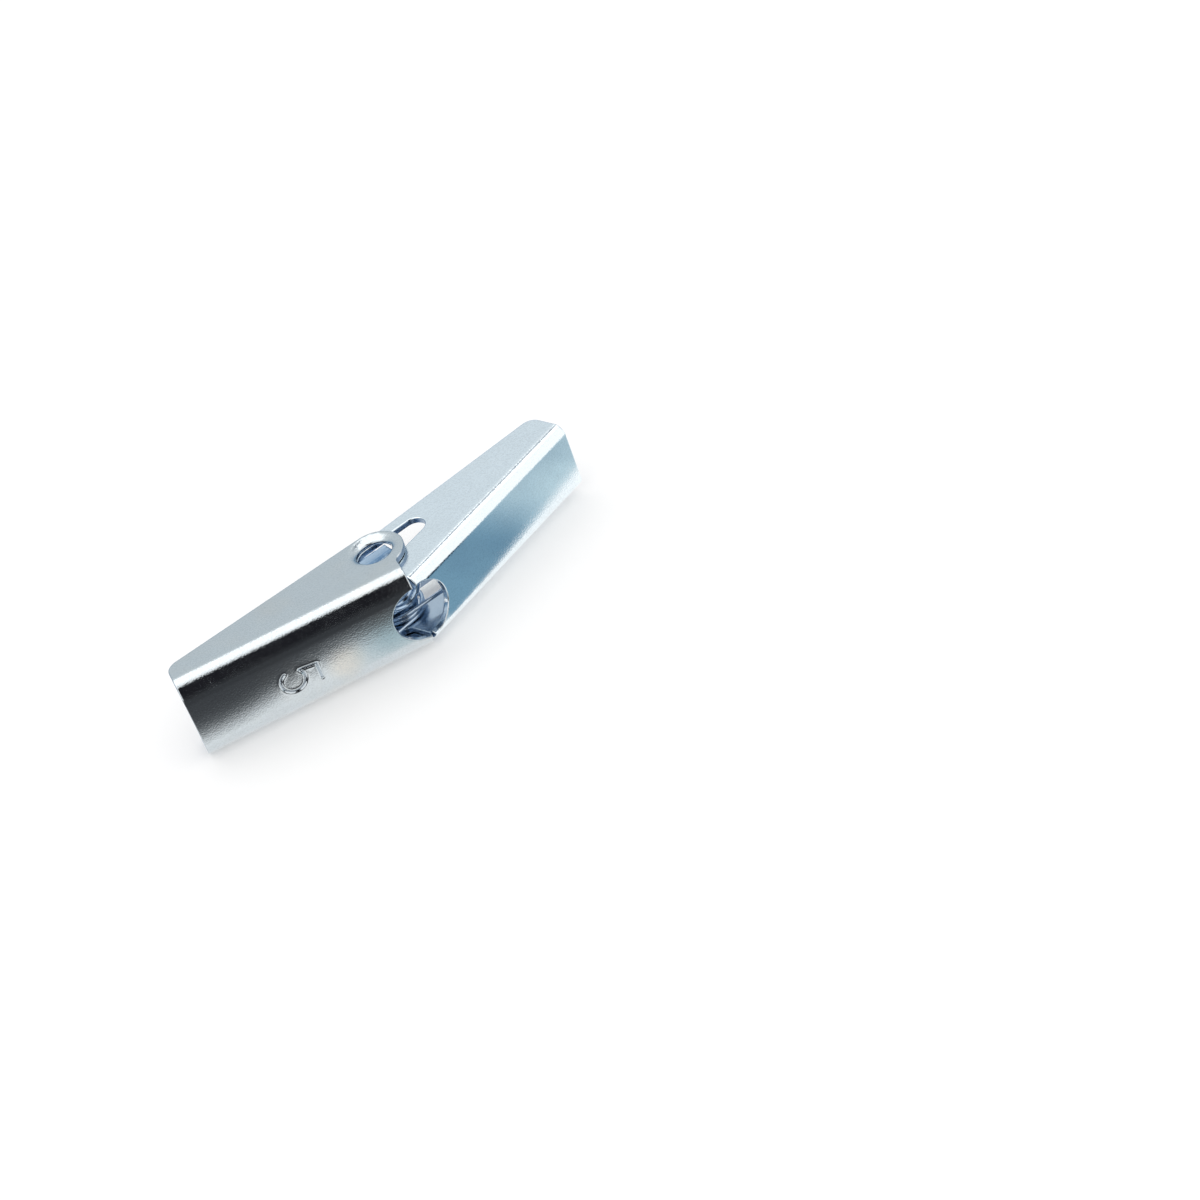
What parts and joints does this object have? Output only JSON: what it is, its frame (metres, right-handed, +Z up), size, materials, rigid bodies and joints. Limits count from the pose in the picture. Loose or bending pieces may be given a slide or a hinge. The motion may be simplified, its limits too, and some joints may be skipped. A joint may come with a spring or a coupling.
{
  "type": "spring toggle",
  "caption": "Spring toggle for hollow walls: two nested folded-sheet wings on a tapped trunnion nut, held open by a torsion spring.",
  "frame": {"origin": "where the axis of the tapped hole crosses the trunnion's axis", "axes": "+X along the open toggle to the inner wing's tip, +Y along the tapped hole towards the screw's head, +Z up along the trunnion; the toggle lies on its side"},
  "size_m": [0.0556, 0.0122, 0.011],
  "materials": {
    "zinc_sheet": "bright zinc plate on pressed sheet steel",
    "zinc_nut": "bright zinc plate",
    "spring_wire": "plated spring wire"
  },
  "bodies": {
    "nut": {"trunnion_nut": "zinc_nut", "torsion_spring": "spring_wire"},
    "outer_wing_arm": {"outer_wing": "zinc_sheet"},
    "inner_wing_arm": {"inner_wing": "zinc_sheet"}
  },
  "joints": [
    {"name": "outer_wing_fold", "type": "hinge", "parent": "nut", "child": "outer_wing_arm", "pos_m": [0, 0, -0.0005], "axis": [0, 0, -1], "range_deg": [0, 75], "stiffness_Nm_per_rad": 0.02, "springref_deg": -11.46, "deforming": ["torsion_spring"]},
    {"name": "inner_wing_fold", "type": "hinge", "parent": "nut", "child": "inner_wing_arm", "pos_m": [0, 0, -0.0005], "axis": [0, 0, 1], "range_deg": [0, 75], "stiffness_Nm_per_rad": 0.02, "springref_deg": -11.46, "deforming": ["torsion_spring"]}
  ]
}
